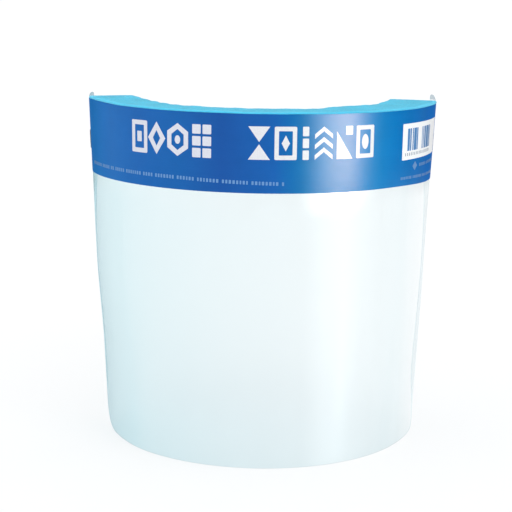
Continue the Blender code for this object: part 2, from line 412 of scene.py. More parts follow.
def pet_material():
    """Thin clear sheet: tinted more where it is seen edge-on, a mirror-like
    reflection that grows towards grazing, light haze, rolling streaks."""
    tree = material_nodes("clear_pet")
    coords = tree.coords()
    geometry = tree.add("NewGeometry").outputs
    streak = tree.noise(tree.mapping(coords, scale=(9.0, 9.0, 0.9)),
                        scale=9.0, detail=4.0, roughness=0.6)
    smear = tree.noise(tree.mapping(coords, scale=(1.0, 1.0, 1.0)),
                       scale=26.0, detail=5.0, roughness=0.62)
    height = tree.times_plus(streak, factor=0.6, offset=tree.times(smear, factor=0.25))
    normal = tree.bump(height, strength=0.10, distance=0.0008)
    facing = tree.vector("DOT_PRODUCT", {0: geometry["Normal"], 1: geometry["Incoming"]})
    # the floor under the cosine limits the effect at grazing angles
    cosine = tree.math("MAXIMUM", tree.math("ABSOLUTE", facing.outputs["Value"]), 0.12)
    x, _, z = tree.split(coords)

    # path through the sheet; painted light: the wearer's left end, which is turned to the light,
    # gets less tint, reflection and haze so that it looks almost clear
    left = tree.rise(x, start=0.088, slope=60.0)
    shortest = tree.times_plus(left, factor=0.40, offset=0.52)
    path = tree.math("DIVIDE", 1.0, tree.math("MAXIMUM", cosine, shortest))
    side = tree.math("SMOOTH_MIN", tree.times_plus(x, factor=6.5, offset=0.36),
                     1.0, third=0.1, clamp=True)
    tint = tree.add("SeparateColor", {0: tree.mix(side, *PET_TINT)}).outputs
    deep = tree.add("CombineColor", {i: tree.math("POWER", tint[i], path) for i in range(3)})
    # the tips above the top edge let less light through and look greyer
    tip = tree.rise(z, start=0.0182, slope=900.0)
    greyed_tip = tree.multiply(deep, (0.76, 0.80, 0.83))
    clear = tree.add("BsdfTransparent", {"Color": tree.mix(tip, deep, greyed_tip)})

    gloss = tree.add("BsdfGlossy", {
        "Color": 1.0,
        "Roughness": tree.ramp(smear, (0.35, 0.02), (0.75, 0.09)),
        "Normal": normal})
    graze = tree.math("POWER", tree.math("SUBTRACT", 1.0, cosine), 5.0)
    # painted light: less reflection at the wearer's left end
    mirror = tree.times_plus(graze, tree.times_plus(left, factor=-0.30, offset=0.45),
                             offset=0.040)
    sheet = tree.mix_shader(mirror, clear, gloss)

    haze = tree.add("BsdfDiffuse", {"Color": (0.80, 0.92, 0.97)})
    patches = tree.times_plus(smear, factor=0.5, offset=tree.times(streak, factor=0.5))
    amount = tree.ramp(patches, (0.3, 0.006), (0.8, 0.022))
    # painted light: thinner haze at the wearer's left end
    thin = tree.times_plus(left, factor=-0.5, offset=1.0)
    amount = tree.times(amount, tree.times(tree.math("MINIMUM", path, 3.0), thin))
    return tree.finish(tree.mix_shader(amount, sheet, haze))


def pet_edge_material():
    """Cut edge of the clear sheet, which gathers light and looks pale blue."""
    tree = material_nodes("clear_pet_edge")
    coords = tree.coords()
    grain = tree.noise(coords, scale=900.0, detail=2.0)
    pale = tree.add("BsdfPrincipled", {
        "Base Color": tree.mix(grain, (0.40, 0.52, 0.60), (0.58, 0.69, 0.76)),
        "Roughness": 0.25,
        "IOR": 1.5})
    clear = tree.add("BsdfTransparent", {"Color": (0.78, 0.90, 0.94)})
    # clearer at the +X end, painted light
    left = tree.rise(tree.split(coords)[0], start=0.085, slope=70.0)
    opaque = tree.times_plus(left, factor=-0.36, offset=0.62)
    return tree.finish(tree.mix_shader(opaque, clear, pale))


def print_material():
    """Glossy blue print on film: faint ink mottling and press streaks, a clear
    smooth coat, fine scuffs that only dull the gloss."""
    tree = material_nodes("printed_film_blue")
    coords = tree.coords()
    mottle = tree.noise(coords, scale=75.0, detail=4.0, roughness=0.55)
    grain = tree.noise(coords, scale=1500.0, detail=2.0)
    lines = tree.noise(tree.mapping(coords, scale=(3.0, 3.0, 160.0)), scale=6.0, detail=2.0)
    ink = tree.math("ADD", tree.times(mottle, factor=0.55),
                    tree.times_plus(grain, factor=0.25, offset=tree.times(lines, factor=0.2)))
    # the blue is doubled here and the painted light and shade along the film halved
    blue = shade(BAND_BLUE, 2.0)
    light_blue = (blue[0] * 1.3, blue[1] * 1.07, blue[2] * 1.05)
    colour = tree.ramp(ink, (0.30, shade(blue, 0.93)), (0.5, blue), (0.72, light_blue))
    scuff = tree.ramp(tree.noise(tree.mapping(coords, scale=(1.0, 1.0, 3.0)),
                                 scale=190.0, detail=6.0, roughness=0.7),
                      (0.55, 0.0), (0.78, 1.0))
    arc = tree.split(tree.add("UVMap", uv_map="surf"))[0]
    along = tree.times_plus(arc, factor=1.0 / (2 * FILM_HALF), offset=0.5)
    # painted light and shade along the film's length
    painted_light = tree.ramp(along, *[(spot, shade(tone, 0.5)) for spot, *tone in PRINT_PAINTED_LIGHT])
    # the coat all but fades out towards both ends
    coat = tree.ramp(along, (0.03, 0.22), (0.13, 1.0), (0.80, 1.0), (0.87, 0.45), (0.93, 0.08))
    height = tree.math("ADD", tree.times(mottle, factor=0.7), tree.times(grain, factor=0.04))
    return tree.finish(tree.add("BsdfPrincipled", {
        "Base Color": tree.multiply(colour, painted_light),
        "Roughness": 0.45,
        "Specular IOR Level": 0.0,
        "Coat Weight": coat,
        "Coat IOR": 1.5,
        "Coat Roughness": tree.times_plus(scuff, factor=0.10, offset=0.13),
        "Coat Normal": tree.bump(height, strength=0.12, distance=0.0006),
        "Normal": tree.bump(height, strength=0.12, distance=0.0006)}))


def ink_material(name, colour, coat=1.0, minus_x_factor=None, glow=0.0):
    """Opaque ink under the same clear coat, with a little pick-out in it.
    The -X end factor: what is left of the colour on the -X side, which is darker and bluer there."""
    tree = material_nodes(name)
    coords = tree.coords()
    picked = tree.ramp(tree.noise(coords, scale=1300.0, detail=3.0, roughness=0.6),
                       (0.25, shade(colour, 0.90)), (0.6, colour))
    mottle = tree.noise(coords, scale=120.0)
    inked = tree.mix(tree.times(mottle, factor=0.10), picked, shade(colour, 0.85))
    if minus_x_factor:
        full = tree.times_plus(tree.split(coords)[0], factor=1.0 / 0.05, offset=0.75, clamp=True)
        inked = tree.mix(full, tree.multiply(inked, minus_x_factor), inked)
    inputs = {"Base Color": inked, "Roughness": 0.32, "Specular IOR Level": 0.2,
              "Coat Weight": coat, "Coat Roughness": 0.15,
              "Normal": tree.bump(mottle, strength=0.1, distance=0.0004)}
    # painted light: the ink is given a faint glow of its own
    if glow:
        inputs["Emission Color"] = (0.92, 0.96, 1.0)
        inputs["Emission Strength"] = glow
    return tree.finish(tree.add("BsdfPrincipled", inputs))


def foam_material():
    """Open-cell foam: small dark cell mouths, lighter struts, soft mottling."""
    tree = material_nodes("foam_open_cell")
    coords = tree.coords()
    shift = tree.vector("SCALE", {
        0: tree.noise(coords, scale=420.0, detail=2.0, coloured=True), "Scale": 0.0011})
    warped = tree.vector("ADD", {0: coords, 1: shift})
    cells = tree.voronoi(warped, scale=850.0, feature="DISTANCE_TO_EDGE")
    large_cells = tree.voronoi(warped, scale=330.0)
    mottle = tree.noise(coords, scale=60.0, detail=4.0, roughness=0.6)
    fine = tree.noise(coords, scale=2600.0, detail=2.0, roughness=0.6)
    strut = tree.ramp(cells, (0.0, 1.0), (0.10, 0.75), (0.36, 0.0))
    pit = tree.ramp(large_cells, (0.10, 0.0), (0.34, 1.0))
    base = tree.ramp(mottle, (0.25, shade(FOAM_BLUE, 0.88)), (0.52, FOAM_BLUE),
                     (0.80, shade(FOAM_BLUE, 1.14)))
    # painted shade: darker in the cell hollows away from the struts and in the larger pits
    colour = tree.mix(strut, tree.multiply(base, (0.72, 0.80, 0.84)), base)
    colour = tree.mix(pit, tree.multiply(colour, (0.80, 0.86, 0.89)), colour)
    # painted highlight: the lip over the sheet's edge, which catches the light, is made lighter
    lip = tree.add("Attribute", attribute_name="lip").outputs["Fac"]
    colour = tree.mix(tree.times(lip, factor=0.75), colour, (0.085, 0.67, 1.0))
    pit_height = tree.times_plus(pit, factor=0.45, offset=tree.times(fine, factor=0.2))
    height = tree.math("ADD", tree.times(strut, factor=0.55), pit_height)
    return tree.finish(tree.add("BsdfPrincipled", {
        "Base Color": colour,
        "Roughness": 0.95,
        "Specular IOR Level": 0.06,
        "Sheen Weight": 0.25,
        "Sheen Roughness": 0.6,
        "Subsurface Weight": 0.15,
        "Subsurface Scale": 0.004,
        "Subsurface Radius": (0.4, 1.0, 1.2),
        "Normal": tree.bump(height, strength=0.9, distance=0.0005)}))


def elastic_material():
    """Flat knitted elastic: warp ribs along the length, small slanted stitches
    across them, fuzzy white yarn."""
    stitch_pitch = 0.00115
    tree = material_nodes("elastic_knit")
    along, across, _ = tree.split(tree.add("UVMap", uv_map="surf"))
    in_rib = tree.math("FRACT", tree.math("DIVIDE", across, RIB_W))
    from_middle = tree.math("ABSOLUTE", tree.math("SUBTRACT", in_rib, 0.5))
    rib = tree.math("SINE", tree.times(in_rib, math.pi))
    slant = tree.times_plus(from_middle, factor=1.3,
                            offset=tree.math("DIVIDE", along, stitch_pitch))
    stitch = tree.times_plus(tree.math("SINE", tree.times(slant, 2 * math.pi)),
                             factor=0.5, offset=0.5)
    coords = tree.coords()
    fuzz = tree.noise(coords, scale=3800.0, detail=3.0, roughness=0.6)
    soil = tree.noise(coords, scale=45.0)
    yarn = tree.times_plus(stitch, tree.times(rib, factor=0.3),
                           offset=tree.times(fuzz, factor=0.15))
    height = tree.math("ADD", tree.times(rib, factor=0.55), yarn)
    # painted shade: the yarn is darker where the knit lies low, between ribs and stitches
    white_with_groove_shade = tree.ramp(height, (0.10, (0.62, 0.63, 0.65)), (0.45, (0.84, 0.85, 0.86)),
                      (0.95, 0.93))
    return tree.finish(tree.add("BsdfPrincipled", {
        "Base Color": tree.mix(tree.times(soil, factor=0.12), white_with_groove_shade, (0.72, 0.74, 0.78)),
        "Roughness": 0.85,
        "Specular IOR Level": 0.2,
        "Sheen Weight": 0.4,
        "Sheen Roughness": 0.45,
        "Normal": tree.bump(height, strength=0.5, distance=0.00028)}))


def steel_material():
    """Drawn wire: bright and spotted, with faint lengthwise drawing lines."""
    tree = material_nodes("staple_wire")
    coords = tree.coords()
    lines = tree.noise(tree.mapping(coords, scale=(900.0, 900.0, 60.0)),
                       scale=6.0, detail=3.0, roughness=0.6)
    spots = tree.noise(coords, scale=420.0, detail=4.0, roughness=0.6)
    return tree.finish(tree.add("BsdfPrincipled", {
        "Base Color": tree.ramp(spots, (0.3, (0.42, 0.43, 0.45)), (0.7, (0.66, 0.67, 0.69))),
        "Metallic": 1.0,
        "Roughness": tree.times_plus(lines, factor=0.2, offset=0.18),
        "Normal": tree.bump(lines, strength=0.25, distance=0.0001)}))


def tape_material():
    """Double-sided tape: milky carrier with small trapped air marks."""
    tree = material_nodes("tape_milky")
    coords = tree.coords()
    bubbles = tree.ramp(tree.voronoi(coords, scale=520.0),
                        (0.06, (0.55, 0.57, 0.58)), (0.14, (0.80, 0.81, 0.79)))
    cloud = tree.noise(coords, scale=90.0, detail=4.0)
    return tree.finish(tree.add("BsdfPrincipled", {
        "Base Color": tree.mix(tree.times(cloud, factor=0.4), bubbles, (0.88, 0.88, 0.86)),
        "Roughness": 0.5,
        "Normal": tree.bump(cloud, strength=0.2, distance=0.0004)}))


PET = pet_material()
PET_EDGE = pet_edge_material()
PRINT = print_material()
WHITE = ink_material("ink_white", (0.94, 0.95, 0.97), minus_x_factor=(0.86, 0.87, 0.95))
# painted light: the label panel glows faintly
LABEL = ink_material("ink_label_white", (0.95, 0.96, 0.97), coat=0.3, glow=0.16)
BAR_BLUE = ink_material("ink_bar_blue", (0.085, 0.290, 0.64))
GREY = ink_material("ink_grey", (0.42, 0.50, 0.58))
PALE_BLUE = ink_material("ink_pale_blue", (0.155, 0.345, 0.68))
FOAM = foam_material()
ELASTIC = elastic_material()
STEEL = steel_material()
TAPE = tape_material()


# ------------------------------------------------------------------ visor and header
def sheet_object(name, arcs, row_count, edges, mats, off=0.0, uv_height=None):
    """Grid on the sheet between the heights edges(arc) gives for top and bottom."""
    rows = even(0.0, 1.0, row_count)
    points = []
    for arc in arcs:
        top, bottom = edges(arc)
        points.append([place(arc, top + (bottom - top) * down, off) for down in rows])
    uvs = None
    if uv_height:
        uvs = [[(arc, -uv_height * down) for down in rows] for arc in arcs]
    return grid_object(name, points, mats, uvs)


def visor_edges(arc):
    return top_edge(arc), -SHEET_H + corner_cut(arc, SHEET_HALF, SHEET_ROUND)


def film_edges(arc):
    """The film's cut edges run slightly off parallel."""
    bottom = -FILM_H + corner_cut(arc, FILM_HALF, FILM_ROUND) - 0.0022 * ease(arc, 0.080, 0.080)
    top = top_edge(math.copysign(min(abs(arc), EAR_START), arc)) - 0.00005
    return top, bottom


def leg_cutters():
    """Short rods where the staple legs pass through sheet and strap."""
    bm = bmesh.new()
    for side in (1, -1):
        for arc in STAPLE_ARCS:
            for rise in (-CROWN / 2, CROWN / 2):
                outer = place(side * arc, STRAP_Z + rise, 0.003)
                inner = place(side * arc, STRAP_Z + rise, -0.004)
                turn = (outer - inner).to_track_quat("Z", "Y").to_matrix().to_4x4()
                bmesh.ops.create_cone(bm, cap_ends=True, segments=20, radius1=0.00042,
                                      radius2=0.00042, depth=0.007,
                                      matrix=Matrix.Translation((outer + inner) / 2) @ turn)
    return new_object("leg_cutter", bm, [])


visor_arcs = mirrored(even(0.0, SHEET_HALF - SHEET_ROUND, 64)
                      + corner_stops(SHEET_HALF, SHEET_ROUND, 3)
                      + even(EAR_START, EAR_END, 8)
                      + corner_stops(SHEET_HALF, EAR_ROUND, 10))
visor = sheet_object("visor", visor_arcs, 72, visor_edges, [PET, PET_EDGE])
add_solidify(visor, SHEET_T, rim=1)
cutter = leg_cutters()
pierce(visor, cutter)
bake(visor)
ride_visor(visor, "clear_pet", "visor_sheet")

film_arcs = mirrored(even(0.0, FILM_HALF - FILM_ROUND, 100)
                     + corner_stops(FILM_HALF, FILM_ROUND, 5))
film = sheet_object("header_print", film_arcs, 30, film_edges, [PRINT],
                    off=FILM_OFF, uv_height=FILM_H)
add_solidify(film, FILM_T)
bake(film)
ride_visor(film, "printed_film", "header_film")


# ------------------------------------------------------------------ ink marks
# Marks are drawn flat in millimetres, x along the arc and y the height.  A shape is a
# list of closed outlines, the inner ones being holes.
def marks_object(name, shapes, mat, off=INK_OFF):
    """Lay flat ink shapes on the header's curved face."""
    bm = bmesh.new()
    for outlines in shapes:
        bm.from_mesh(curve_mesh(outlines, True, dimensions="2D", fill_mode="BOTH"))
    bmesh.ops.remove_doubles(bm, verts=bm.verts[:], dist=1e-4)
    # cuts every so many millimetres let the marks follow the curve; the small
    # shifts keep the cuts off the outlines' own corners
    for normal, pitch, shift in (((1, 0, 0), 2.0, 0.013), ((0, 1, 0), 5.0, 0.017)):
        axis = normal.index(1)
        spots = [vert.co[axis] for vert in bm.verts]
        cut = math.floor(min(spots) / pitch) * pitch
        end = max(spots)
        while cut < end:
            bmesh.ops.bisect_plane(bm, geom=bm.verts[:] + bm.edges[:] + bm.faces[:],
                                   plane_co=Vector(normal) * (cut + shift),
                                   plane_no=normal, dist=1e-5)
            cut += pitch
    for face in bm.faces:
        if face.normal.z < 0:
            face.normal_flip()
    for vert in bm.verts:
        vert.co = place(vert.co.x / 1000.0, vert.co.y / 1000.0, off)
    ob = new_object(name, bm, [mat])
    add_solidify(ob, INK_T, offset=1.0)
    bake(ob)
    ride_visor(ob, "printed_film")


def rect(x0, x1, y0, y1, radius=0.0, steps=4):
    if radius <= 0.0:
        return [(x0, y0), (x1, y0), (x1, y1), (x0, y1)]
    points = []
    for x, y, start in ((x1 - radius, y0 + radius, -90), (x1 - radius, y1 - radius, 0),
                        (x0 + radius, y1 - radius, 90), (x0 + radius, y0 + radius, 180)):
        for k in range(steps + 1):
            angle = math.radians(start + 90.0 * k / steps)
            points.append((x + radius * math.cos(angle), y + radius * math.sin(angle)))
    return points


def ellipse(x, half_w, half_h, count):
    angles = [2 * math.pi * k / count for k in range(count)]
    return [(x + half_w * math.cos(angle), MARK_MID + half_h * math.sin(angle))
            for angle in angles]


def rhomb(x, y, half_w, half_h):
    return [(x - half_w, y), (x, y - half_h), (x + half_w, y), (x, y + half_h)]


def hexagon(x, y, half_w, half_h):
    return [(x - half_w, y - half_h * 0.5), (x, y - half_h), (x + half_w, y - half_h * 0.5),
            (x + half_w, y + half_h * 0.5), (x, y + half_h), (x - half_w, y + half_h * 0.5)]


MARK_TOP, MARK_LOW = -7.6, -27.6
MARK_MID, MARK_HALF = (MARK_TOP + MARK_LOW) / 2, (MARK_TOP - MARK_LOW) / 2


def box_ring(x0, x1, side, end, inner_radius):
    """Full-height box with a hole; side and end are the widths of its walls."""
    return [rect(x0, x1, MARK_LOW, MARK_TOP, 0.8),
            rect(x0 + side, x1 - side, MARK_LOW + end, MARK_TOP - end, inner_radius)]


def block_column(x0, x1):
    """Three blocks above each other."""
    tops = [MARK_TOP - j * 7.15 for j in range(3)]
    return [[rect(x0, x1, top - 5.7, top, 0.5)] for top in tops]


def chevrons(x0, x1):
    """Three roof-shaped bands above each other."""
    middle = (x0 + x1) / 2
    tops = [MARK_TOP - j * 6.3 for j in range(3)]
    return [[[(x0, top - 4.6), (x0, top - 7.4), (middle, top - 2.8),
              (x1, top - 7.4), (x1, top - 4.6), (middle, top)]] for top in tops]


large = [
    # first group, four marks
    box_ring(-96.4, -83.4, side=2.7, end=2.8, inner_radius=0.4),
    [rect(-91.8, -88.0, MARK_MID - 3.2, MARK_MID + 3.2, 0.4)],
    [rhomb(-76.1, MARK_MID, 6.6, MARK_HALF), rhomb(-76.1, MARK_MID, 2.8, MARK_HALF - 5.2)],
    [hexagon(-60.85, MARK_MID, 7.25, MARK_HALF),
     hexagon(-60.85, MARK_MID, 4.25, MARK_HALF - 3.6)],
    [ellipse(-60.85, 1.9, 2.6, 28)],
    *block_column(-50.9, -45.4),
    *block_column(-44.2, -38.7),
    # second group, six marks
    [[(-16.1, MARK_TOP), (-9.5, MARK_MID + 0.7), (-2.9, MARK_TOP)]],
    [[(-16.1, MARK_LOW), (-2.9, MARK_LOW), (-9.5, MARK_MID - 0.7)]],
    box_ring(-0.2, 13.4, side=2.6, end=2.7, inner_radius=0.5),
    [rhomb(6.6, MARK_MID, 2.5, 4.8)],
    *block_column(17.0, 20.9),
    *chevrons(24.6, 36.2),
    [[(38.9, MARK_LOW), (50.0, MARK_LOW), (38.9, MARK_TOP - 3.0)]],
    [rect(45.0, 50.0, MARK_TOP - 5.4, MARK_TOP, 0.5)],
    box_ring(52.6, 66.0, side=2.6, end=2.6, inner_radius=0.5),
    [ellipse(59.3, 2.5, 4.6, 32)],
]
marks_object("marks_large", large, WHITE)

# white panel with bars at the +X end
PANEL_X, PANEL_END, PANEL_LOW, PANEL_TOP = 93.0, 153.0, -31.9, -8.9
# width of each bar and the gap after it
BARS = ((2.6, 0.5), (1.6, 1.5), (1.3, 0.6), (3.4, 0.5), (1.6, 6.4), (0.9, 1.1),
        (1.3, 1.0), (2.6, 0.9), (3.6, 0.7), (2.0, 0.9), (1.2, 0.8))
TICK_W, TICK_PITCH = 1.0, 2.3

marks_object("bar_panel", [[rect(PANEL_X, PANEL_END, PANEL_LOW, PANEL_TOP, 0.6)]], LABEL)
bars = []
x = PANEL_X + 5.6
for width, gap in BARS:
    bars.append([rect(x, x + width, PANEL_LOW + 5.6, PANEL_TOP - 3.2)])
    x += width + gap
bars_end = x
marks_object("bar_pattern", bars, BAR_BLUE, off=OVERPRINT_OFF)
ticks = []
x = PANEL_X + 3.4
while x < bars_end - 1.0:
    ticks.append([rect(x, x + TICK_W, PANEL_LOW + 2.4, PANEL_LOW + 4.4)])
    x += TICK_PITCH
marks_object("bar_ticks", ticks, GREY, off=OVERPRINT_OFF)


def block_row(start, end, level, height, width, gap, seed, drop=0.0, bend=0.0, run=1.0):
    """A row of plain blocks standing for a printed line; beyond x = bend it
    falls by drop for every run."""
    rng = random.Random(seed)
    shapes = []
    x = start
    left = rng.randint(4, 8)
    while x + width < end:
        if left == 0:
            x += width * 1.1
            left = rng.choice((2, 4, 5, 6, 7, 8))
            continue
        y = level - drop * max(0.0, (x - bend) / run)
        block = width * rng.choice((0.8, 1.0, 1.0, 1.15))
        shapes.append([rect(x, x + block, y - height / 2, y + height / 2, 0.18, 2)])
        x += block + gap
        left -= 1
    return shapes


small = block_row(-150.0, 6.0, level=-40.6, height=2.2, width=1.25, gap=0.85, seed=5,
                  drop=1.6, bend=-60.0, run=66.0)
small += block_row(92.5, 152.5, level=-43.4, height=1.8, width=1.15, gap=0.8, seed=9,
                   drop=1.4, bend=100.0, run=50.0)
small += block_row(116.5, 150.0, level=-36.6, height=2.0, width=1.3, gap=0.9, seed=21)
small.append([rhomb(109.6, -36.6, 3.2, 2.9)])
marks_object("marks_small", small, PALE_BLUE)

# ------------------------------------------------------------------ brow pad
LIP_RISE = -PAD_Z + 0.00004    # the lip starts just above z = 0


def pad_outline(down_steps=34, deep_steps=23):
    """Rounded cross-section as (inward, rise) from the sheet side and mid height."""
    deep, half, radius = PAD_T, PAD_H / 2, PAD_ROUND
    points = []

    def corner(inward, rise, start):
        for k in range(5):
            angle = math.radians(start + 90 * k / 5)
            points.append((inward + radius * math.cos(angle), rise + radius * math.sin(angle)))

    corner(deep - radius, half - radius, 0)
    for k in range(deep_steps):
        points.append((deep - radius - (deep - 2 * radius) * k / deep_steps, half))
    corner(radius, half - radius, 90)
    points.extend([(0.0, half - radius), (0.0, LIP_RISE + 0.00016), (0.0, LIP_RISE + 0.00003)])
    below_lip = LIP_RISE - 0.00003
    for k in range(down_steps):
        points.append((0.0, below_lip - (below_lip + half - radius) * k / down_steps))
    corner(radius, -half + radius, 180)
    for k in range(deep_steps):
        points.append((radius + (deep - 2 * radius) * k / deep_steps, -half))
    corner(deep - radius, -half + radius, 270)
    for k in range(down_steps):
        points.append((deep, -half + radius + (PAD_H - 2 * radius) * k / down_steps))
    return points


def rough_noise(point, scale):
    """Two octaves of noise."""
    spot = Vector(point) * scale
    finer = spot * 2.03 + Vector((3.1, 1.7, 5.3))
    return (noise.noise(spot) + 0.55 * noise.noise(finer)) / 1.55


def pad_thickness(arc):
    """Pressed thinner by the forehead in the middle, full at its free ends."""
    if arc < 0.0:
        return PAD_T + 0.0034 * ease(-arc, 0.072, 0.040)
    return PAD_T + 0.0050 * ease(arc, 0.074, 0.060)


def plain_pad_point(arc, inward, rise):
    """Point of the pad before its surface is roughened."""
    depth = PAD_DEPTH + (PAD_DEPTH_END - PAD_DEPTH) * ease(abs(arc), 0.1385, 0.005)
    # above the strap the pad swells back out to the sheet
    above = ease(rise, STRAP_Z + STRAP_W / 2 - PAD_Z + 0.001, 0.005)
    depth += (0.0004 - depth) * above
    # and its top edge laps the sheet's
    depth -= 0.00088 * ease(rise, LIP_RISE, 0.0001)
    z = PAD_Z + rise + right_rise(arc) * ease(rise, 0.008, 0.008)
    outer = sheet_point(arc, z, -depth, False, False)
    inner = sheet_point(arc, PAD_Z, -(PAD_DEPTH + pad_thickness(arc)), False, False)
    outer.z = inner.z = z
    return outer + (inner - outer) * (inward / PAD_T)


def pad_point(arc, inward, rise):
    point = plain_pad_point(arc, inward, rise)
    share = inward / PAD_T
    # the strip is cut straight and bent, so its inside face gathers
    swell = 0.55 + 0.9 * noise.noise(Vector((arc * 21.0, 4.2, 0.3)))
    phase = 4.0 * noise.noise(Vector((arc * 26.0, 0.5, 2.0)))
    gather = 0.00026 * swell * share ** 2 * math.sin(arc * 2 * math.pi / 0.0165 + phase) \
        * (1.0 - ease(abs(arc), 0.135, 0.02))
    hump = 0.00050 * rough_noise((arc, inward * 0.6, 0.0), 42.0)
    hump += 0.0006 * ease(abs(arc), 0.070, 0.060) - 0.0006
    hump += 0.0011 * share * math.exp(-((arc - 0.070) / 0.026) ** 2)
    rough = 0.00016 * rough_noise(point, 650.0)
    # +1 on the top face, -1 on the underside
    facing = ease(rise, PAD_H / 2 - 0.003, 0.003) - ease(-rise, PAD_H / 2 - 0.003, 0.003)
    sink = 0.0003 if facing > 0 else 0.0
    point.z += facing * (hump + gather * 0.7 + rough) - sink * facing
    # inside face: shallow gathers, across the strip
    axis = Vector((0.0, LEAN * PAD_Z + TOP_RADIUS + TAPER * PAD_Z, point.z))
    inside = ease(inward, PAD_T - 0.004, 0.004)
    push = inside * (gather + rough + 0.00025 * rough_noise(point, 70.0)) - inside * 0.0002
    return point + (axis - point).normalized() * push


def build_pad():
    outline = pad_outline()
    stations = [(-PAD_HALF, PAD_ROUND), (-PAD_HALF + 0.0003, 0.0004)]
    stations += [(arc, 0.0) for arc in mirrored(even(0.0, PAD_HALF - 0.0008, 150))]
    stations += [(PAD_HALF - 0.0003, 0.0004), (PAD_HALF, PAD_ROUND)]
    bm = bmesh.new()
    lip = bm.verts.layers.float.new("lip")
    rings = []
    for arc, inset in stations:
        ring = []
        for inward, rise in outline:
            inward = PAD_T / 2 + (inward - PAD_T / 2) * (1 - inset / (PAD_T / 2))
            rise *= 1 - inset / (PAD_H / 2)
            vert = bm.verts.new(pad_point(arc, inward, rise) - ORIGIN)
            # mask for the painted highlight along the lip's front edge
            vert[lip] = ease(rise, LIP_RISE - 0.0001, 0.0002) \
                * (1.0 - ease(inward, 0.0008, 0.0016))
            ring.append(vert)
        rings.append(ring)
    for ring, following in zip(rings, rings[1:]):
        for k in range(len(outline)):
            after = (k + 1) % len(outline)
            bm.faces.new((ring[k], ring[after], following[after], following[k]))
    for ring in (rings[0][::-1], rings[-1]):
        cap = bm.faces.new(ring)
        bmesh.ops.inset_region(bm, faces=[cap], thickness=0.002, depth=0.0)
        bmesh.ops.triangulate(bm, faces=[cap])
    bmesh.ops.recalc_face_normals(bm, faces=bm.faces[:])
    return new_object("brow_pad", bm, [FOAM])


ride_visor(build_pad(), "foam", "brow_foam")

# tape: the CAD strip has the right shape
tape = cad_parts["foam_tape"]
tape.data.materials.clear()
tape.data.materials.append(TAPE)
tape.data.shade_smooth()

# ------------------------------------------------------------------ strap
BODY_T = STRAP_T * 0.86       # thickness under the ribs
LEAVE_RUN = 0.020             # length over which the strap straightens behind the sheet


def ribbon(name, stations):
    """Band from stations of (point function of the place across, distance along)."""
    across = [share * STRAP_W for share in even(0.5, -0.5, 48)]
    points = [[point_at(spot) for spot in across] for point_at, _ in stations]
    uvs = [[(distance, spot) for spot in across] for _, distance in stations]
    return grid_object(name, points, [ELASTIC], uvs, flipped=True)


def rib_depth(across):
    """Rounded warp ribs, and a slightly thicker woven selvedge."""
    rib = abs(math.sin(math.pi * across / RIB_W))
    selvedge = ease(abs(across), STRAP_W / 2 - 0.0012, 0.0006)
    return 0.00007 * (rib - 0.5) * (1 - selvedge) + 0.00006 * selvedge


def strap_base(arc, z=STRAP_Z):
    return sheet_point(arc, z, STRAP_OFF, False)


# where the strap leaves the sheet, how it leans there, and its course seen from above
END = strap_base(SHEET_HALF)
END_LEAN = (strap_base(SHEET_HALF, STRAP_Z + 0.01)
            - strap_base(SHEET_HALF, STRAP_Z - 0.01)) / 0.02
before_end = strap_base(SHEET_HALF - 0.0005)
END_SLOPE = (END.x - before_end.x) / (END.y - before_end.y)


def free_x(y):
    """Half width of the strap behind the sheet: a cubic that leaves along the
    curled margin, then straight."""
    t = (y - END.y) / LEAVE_RUN
    if t >= 1.0:
        return SIDE_X
    from_end = 2 * t ** 3 - 3 * t * t + 1
    from_slope = t ** 3 - 2 * t * t + t
    from_side = -2 * t ** 3 + 3 * t * t
    return from_end * END.x + from_slope * END_SLOPE * LEAVE_RUN + from_side * SIDE_X


def stapled_point(side, arc, across):
    return place(side * arc, STRAP_Z + across, STRAP_OFF + rib_depth(across), False)


def side_point(side, y, across):
    lean = across * (1.0 - ease(y, END.y, LEAVE_RUN))
    x = free_x(y) + END_LEAN.x * lean + rib_depth(across)
    return Vector((side * x, y + END_LEAN.y * lean, STRAP_Z + across)) - ORIGIN


def rear_point(x, y, normal, across):
    """Slack elastic: it hangs a little at the back and is not quite flat."""
    slack = ease(y, SPLIT_Y, REAR_Y + REAR_DEPTH - SPLIT_Y)
    sag = -0.0042 * slack + 0.0007 * slack * math.sin(x * 41.0 + 0.6)
    ripple = 0.0005 * slack * math.sin(x * 52.0 + 2.0)
    out = rib_depth(across) + ripple - 0.055 * slack * across
    return Vector((x + normal.x * out, y + normal.y * out, STRAP_Z + across + sag)) - ORIGIN


def build_side(side, name):
    stations = [(partial(stapled_point, side, arc), arc)
                for arc in even(STRAP_START, SHEET_HALF, 22)[:-1]]
    stations += [(partial(side_point, side, y), SHEET_HALF + (y - END.y))
                 for y in even(END.y, SPLIT_Y, 26)]
    ob = ribbon(name, stations)
    if side < 0:
        ob.data.flip_normals()
    add_solidify(ob, BODY_T)
    pierce(ob, cutter)
    bake(ob)
    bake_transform(ob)
    return ob


def build_rear():
    first_y = SPLIT_Y - 0.00002
    path = [(SIDE_X, y) for y in even(first_y, REAR_Y, 8)[:-1]]
    for k in range(181):
        angle = math.radians(k)
        path.append((SIDE_X * math.cos(angle), REAR_Y + REAR_DEPTH * math.sin(angle)))
    path += [(-SIDE_X, y) for y in even(REAR_Y, first_y, 8)[1:]]
    stations = []
    distance = SHEET_HALF + (SPLIT_Y - END.y)
    for i, (x, y) in enumerate(path):
        before = path[max(i - 1, 0)]
        after = path[min(i + 1, len(path) - 1)]
        distance += math.hypot(x - before[0], y - before[1])
        tangent = (Vector(after) - Vector(before)).normalized()
        normal = Vector((tangent.y, -tangent.x))
        stations.append((partial(rear_point, x, y, normal), distance))
    ob = ribbon("strap_loop", stations)
    add_solidify(ob, BODY_T)
    bake(ob)
    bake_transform(ob)
    return ob


